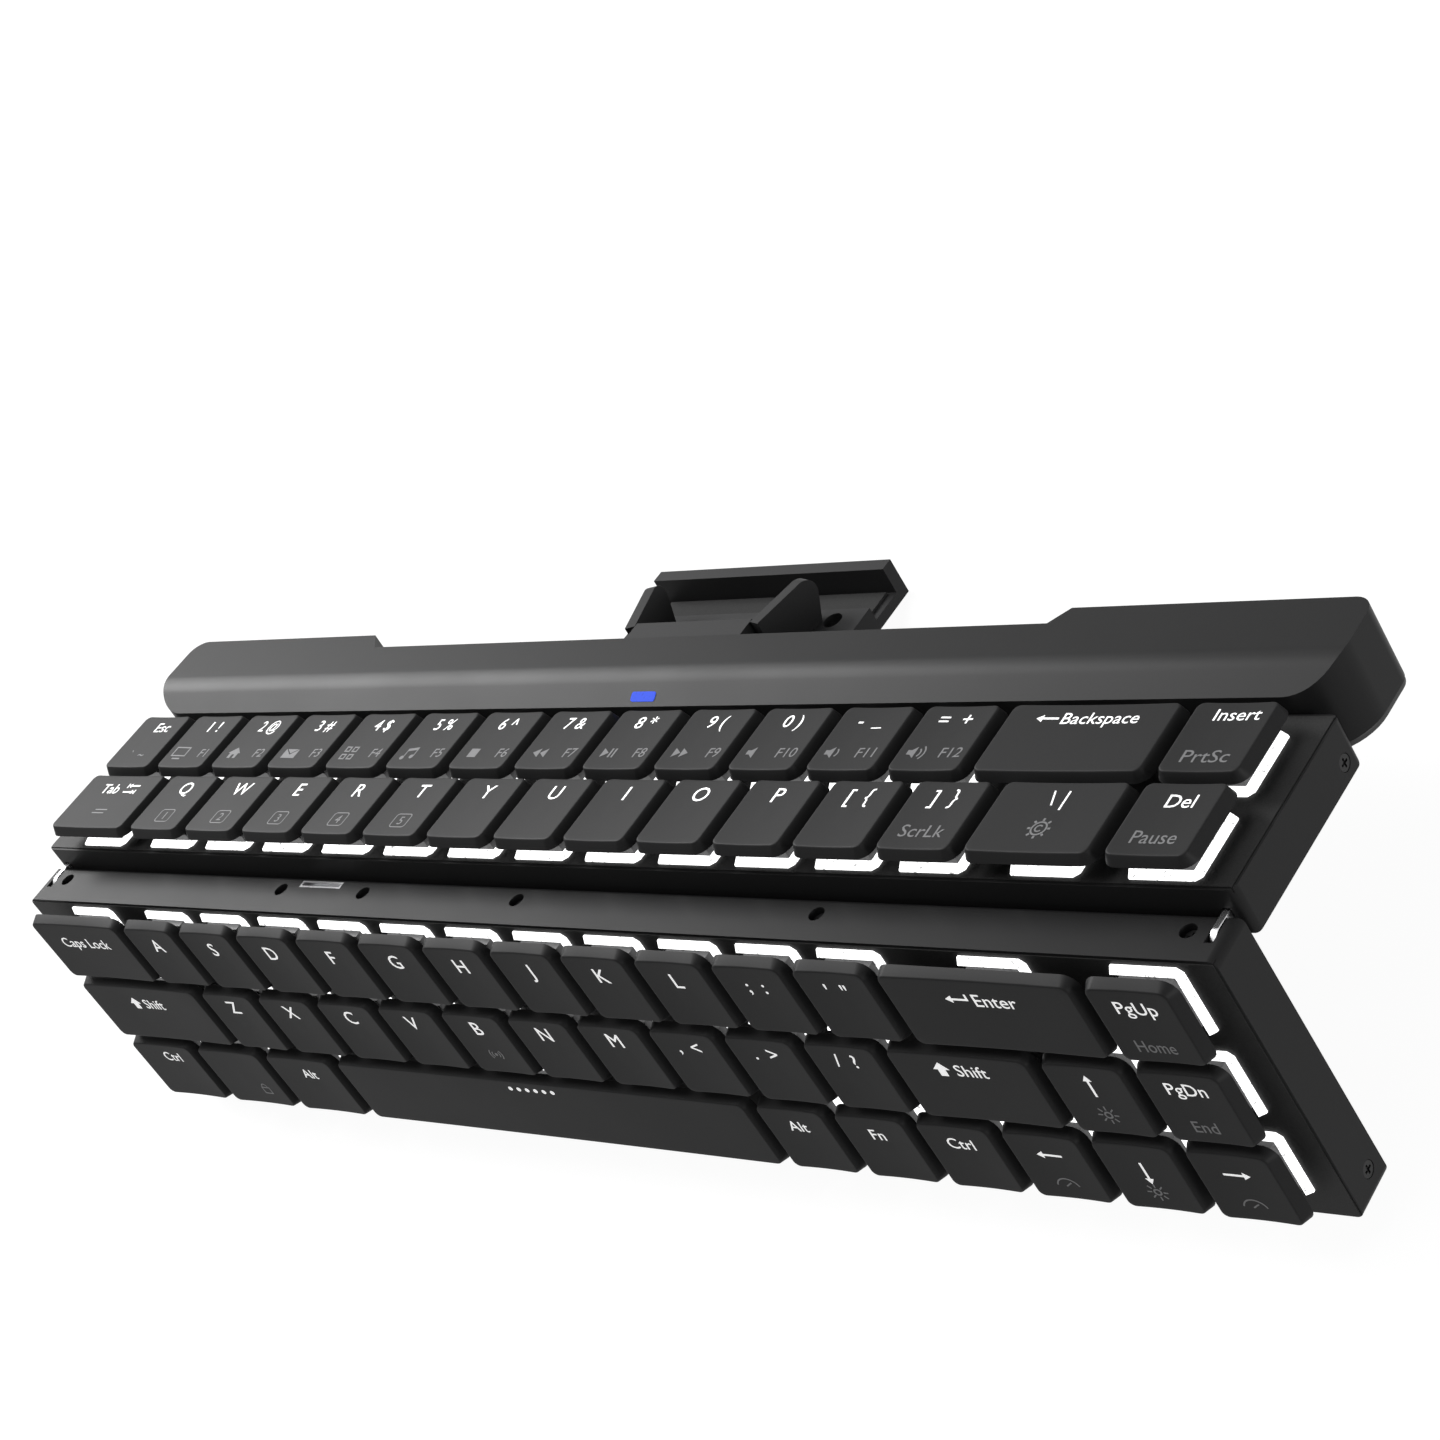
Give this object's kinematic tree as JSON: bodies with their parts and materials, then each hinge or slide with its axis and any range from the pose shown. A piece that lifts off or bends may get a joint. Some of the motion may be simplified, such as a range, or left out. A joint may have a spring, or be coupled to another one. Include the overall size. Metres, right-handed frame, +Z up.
{
  "type": "folding keyboard",
  "caption": "Compact mechanical keyboard whose two key decks fold on linked hinges, with a status bar and a sliding phone holder, standing half folded.",
  "frame": {"origin": "centre of the bounding box, on the ground, with the keyboard half folded and standing on the phone holder and the lower deck's far edge", "axes": "+X along the key rows towards the right-hand keys, +Y from the lower deck towards the status bar, +Z up"},
  "size_m": [0.3142, 0.1194, 0.0592],
  "materials": {
    "keycap": "dark charcoal double-shot plastic with a satin grain and white legends",
    "case": "satin black anodised aluminium",
    "key_plate": "glossy black metal plate",
    "circuit_board": "green solder mask",
    "switch": "black moulded switch housing",
    "light_frame": "clear light guide glowing white",
    "foot": "black rubber",
    "screw": "black-nickel steel",
    "pin": "ground steel",
    "bar": "satin charcoal plastic",
    "bar_cover": "fine-grained black plastic",
    "battery": "foil pouch",
    "lens": "clear lens lit blue",
    "port": "stamped steel shell",
    "holder": "satin black plastic",
    "link": "stamped steel",
    "grommet": "grey plastic"
  },
  "bodies": {
    "upper_deck": {"upper_case": "case", "upper_plate": "key_plate", "upper_board": "circuit_board", "upper_switches": "switch", "upper_light_frames": "light_frame", "upper_feet": "foot", "upper_end_screws": "screw", "upper_hinge_pins": "pin", "bar_housing": "bar", "bar_cover": "bar_cover", "bar_screws": "screw", "battery_cells": "battery", "controller_board": "circuit_board", "status_lens": "lens", "charge_port": "port"},
    "hinge_links": {"left_hinge_link": "link", "right_hinge_link": "link"},
    "lower_deck": {"lower_case": "case", "lower_plate": "key_plate", "lower_board": "circuit_board", "lower_switches": "switch", "lower_light_frames": "light_frame", "lower_feet": "foot", "lower_end_screws": "screw", "lower_hinge_pins": "pin", "wall_screws": "screw", "ribbon_grommet": "grommet"},
    "phone_holder": {"phone_cradle": "holder", "cradle_pad": "foot"},
    "esc_key_body": {"esc_key": "keycap"},
    "digit_keys_body": {"digit_keys": "keycap"},
    "backspace_key_body": {"backspace_key": "keycap"},
    "insert_key_body": {"insert_key": "keycap"},
    "tab_key_body": {"tab_key": "keycap"},
    "qwerty_keys_body": {"qwerty_keys": "keycap"},
    "backslash_key_body": {"backslash_key": "keycap"},
    "delete_key_body": {"delete_key": "keycap"},
    "caps_key_body": {"caps_key": "keycap"},
    "home_keys_body": {"home_keys": "keycap"},
    "enter_key_body": {"enter_key": "keycap"},
    "page_up_key_body": {"page_up_key": "keycap"},
    "left_shift_key_body": {"left_shift_key": "keycap"},
    "bottom_keys_body": {"bottom_keys": "keycap"},
    "right_shift_key_body": {"right_shift_key": "keycap"},
    "up_key_body": {"up_key": "keycap"},
    "page_down_key_body": {"page_down_key": "keycap"},
    "left_ctrl_key_body": {"left_ctrl_key": "keycap"},
    "super_key_body": {"super_key": "keycap"},
    "left_alt_key_body": {"left_alt_key": "keycap"},
    "space_bar_body": {"space_bar": "keycap"},
    "right_alt_key_body": {"right_alt_key": "keycap"},
    "fn_key_body": {"fn_key": "keycap"},
    "right_ctrl_key_body": {"right_ctrl_key": "keycap"},
    "left_key_body": {"left_key": "keycap"},
    "down_key_body": {"down_key": "keycap"},
    "right_key_body": {"right_key": "keycap"}
  },
  "joints": [
    {"name": "link_fold", "type": "hinge", "parent": "upper_deck", "child": "hinge_links", "pos_m": [0, -0.01599, 0.04677], "axis": [1, 0, 0], "range_deg": [0, 88.83]},
    {"name": "lower_fold", "type": "hinge", "parent": "hinge_links", "child": "lower_deck", "pos_m": [0, -0.02144, 0.05012], "axis": [1, 0, 0], "range_deg": [-91.17, 0]},
    {"name": "holder_slide", "type": "slide", "parent": "upper_deck", "child": "phone_holder", "axis": [1, 0, 0], "range_m": [-0.055, 0.055]},
    {"name": "esc_key_travel", "type": "slide", "parent": "upper_deck", "child": "esc_key_body", "axis": [0, -0.5233, -0.8521], "range_m": [0, 0.0028], "stiffness_N_per_m": 120, "springref_m": -0.0033},
    {"name": "digit_keys_travel", "type": "slide", "parent": "upper_deck", "child": "digit_keys_body", "axis": [0, -0.5233, -0.8521], "range_m": [0, 0.0028], "stiffness_N_per_m": 120, "springref_m": -0.0033},
    {"name": "backspace_key_travel", "type": "slide", "parent": "upper_deck", "child": "backspace_key_body", "axis": [0, -0.5233, -0.8521], "range_m": [0, 0.0028], "stiffness_N_per_m": 120, "springref_m": -0.0033},
    {"name": "insert_key_travel", "type": "slide", "parent": "upper_deck", "child": "insert_key_body", "axis": [0, -0.5233, -0.8521], "range_m": [0, 0.0028], "stiffness_N_per_m": 120, "springref_m": -0.0033},
    {"name": "tab_key_travel", "type": "slide", "parent": "upper_deck", "child": "tab_key_body", "axis": [0, -0.5233, -0.8521], "range_m": [0, 0.0028], "stiffness_N_per_m": 120, "springref_m": -0.0033},
    {"name": "qwerty_keys_travel", "type": "slide", "parent": "upper_deck", "child": "qwerty_keys_body", "axis": [0, -0.5233, -0.8521], "range_m": [0, 0.0028], "stiffness_N_per_m": 120, "springref_m": -0.0033},
    {"name": "backslash_key_travel", "type": "slide", "parent": "upper_deck", "child": "backslash_key_body", "axis": [0, -0.5233, -0.8521], "range_m": [0, 0.0028], "stiffness_N_per_m": 120, "springref_m": -0.0033},
    {"name": "delete_key_travel", "type": "slide", "parent": "upper_deck", "child": "delete_key_body", "axis": [0, -0.5233, -0.8521], "range_m": [0, 0.0028], "stiffness_N_per_m": 120, "springref_m": -0.0033},
    {"name": "caps_key_travel", "type": "slide", "parent": "lower_deck", "child": "caps_key_body", "axis": [0, 0.8626, -0.5058], "range_m": [0, 0.0028], "stiffness_N_per_m": 120, "springref_m": -0.0033},
    {"name": "home_keys_travel", "type": "slide", "parent": "lower_deck", "child": "home_keys_body", "axis": [0, 0.8626, -0.5058], "range_m": [0, 0.0028], "stiffness_N_per_m": 120, "springref_m": -0.0033},
    {"name": "enter_key_travel", "type": "slide", "parent": "lower_deck", "child": "enter_key_body", "axis": [0, 0.8626, -0.5058], "range_m": [0, 0.0028], "stiffness_N_per_m": 120, "springref_m": -0.0033},
    {"name": "page_up_key_travel", "type": "slide", "parent": "lower_deck", "child": "page_up_key_body", "axis": [0, 0.8626, -0.5058], "range_m": [0, 0.0028], "stiffness_N_per_m": 120, "springref_m": -0.0033},
    {"name": "left_shift_key_travel", "type": "slide", "parent": "lower_deck", "child": "left_shift_key_body", "axis": [0, 0.8626, -0.5058], "range_m": [0, 0.0028], "stiffness_N_per_m": 120, "springref_m": -0.0033},
    {"name": "bottom_keys_travel", "type": "slide", "parent": "lower_deck", "child": "bottom_keys_body", "axis": [0, 0.8626, -0.5058], "range_m": [0, 0.0028], "stiffness_N_per_m": 120, "springref_m": -0.0033},
    {"name": "right_shift_key_travel", "type": "slide", "parent": "lower_deck", "child": "right_shift_key_body", "axis": [0, 0.8626, -0.5058], "range_m": [0, 0.0028], "stiffness_N_per_m": 120, "springref_m": -0.0033},
    {"name": "up_key_travel", "type": "slide", "parent": "lower_deck", "child": "up_key_body", "axis": [0, 0.8626, -0.5058], "range_m": [0, 0.0028], "stiffness_N_per_m": 120, "springref_m": -0.0033},
    {"name": "page_down_key_travel", "type": "slide", "parent": "lower_deck", "child": "page_down_key_body", "axis": [0, 0.8626, -0.5058], "range_m": [0, 0.0028], "stiffness_N_per_m": 120, "springref_m": -0.0033},
    {"name": "left_ctrl_key_travel", "type": "slide", "parent": "lower_deck", "child": "left_ctrl_key_body", "axis": [0, 0.8626, -0.5058], "range_m": [0, 0.0028], "stiffness_N_per_m": 120, "springref_m": -0.0033},
    {"name": "super_key_travel", "type": "slide", "parent": "lower_deck", "child": "super_key_body", "axis": [0, 0.8626, -0.5058], "range_m": [0, 0.0028], "stiffness_N_per_m": 120, "springref_m": -0.0033},
    {"name": "left_alt_key_travel", "type": "slide", "parent": "lower_deck", "child": "left_alt_key_body", "axis": [0, 0.8626, -0.5058], "range_m": [0, 0.0028], "stiffness_N_per_m": 120, "springref_m": -0.0033},
    {"name": "space_bar_travel", "type": "slide", "parent": "lower_deck", "child": "space_bar_body", "axis": [0, 0.8626, -0.5058], "range_m": [0, 0.0028], "stiffness_N_per_m": 120, "springref_m": -0.0033},
    {"name": "right_alt_key_travel", "type": "slide", "parent": "lower_deck", "child": "right_alt_key_body", "axis": [0, 0.8626, -0.5058], "range_m": [0, 0.0028], "stiffness_N_per_m": 120, "springref_m": -0.0033},
    {"name": "fn_key_travel", "type": "slide", "parent": "lower_deck", "child": "fn_key_body", "axis": [0, 0.8626, -0.5058], "range_m": [0, 0.0028], "stiffness_N_per_m": 120, "springref_m": -0.0033},
    {"name": "right_ctrl_key_travel", "type": "slide", "parent": "lower_deck", "child": "right_ctrl_key_body", "axis": [0, 0.8626, -0.5058], "range_m": [0, 0.0028], "stiffness_N_per_m": 120, "springref_m": -0.0033},
    {"name": "left_key_travel", "type": "slide", "parent": "lower_deck", "child": "left_key_body", "axis": [0, 0.8626, -0.5058], "range_m": [0, 0.0028], "stiffness_N_per_m": 120, "springref_m": -0.0033},
    {"name": "down_key_travel", "type": "slide", "parent": "lower_deck", "child": "down_key_body", "axis": [0, 0.8626, -0.5058], "range_m": [0, 0.0028], "stiffness_N_per_m": 120, "springref_m": -0.0033},
    {"name": "right_key_travel", "type": "slide", "parent": "lower_deck", "child": "right_key_body", "axis": [0, 0.8626, -0.5058], "range_m": [0, 0.0028], "stiffness_N_per_m": 120, "springref_m": -0.0033}
  ]
}
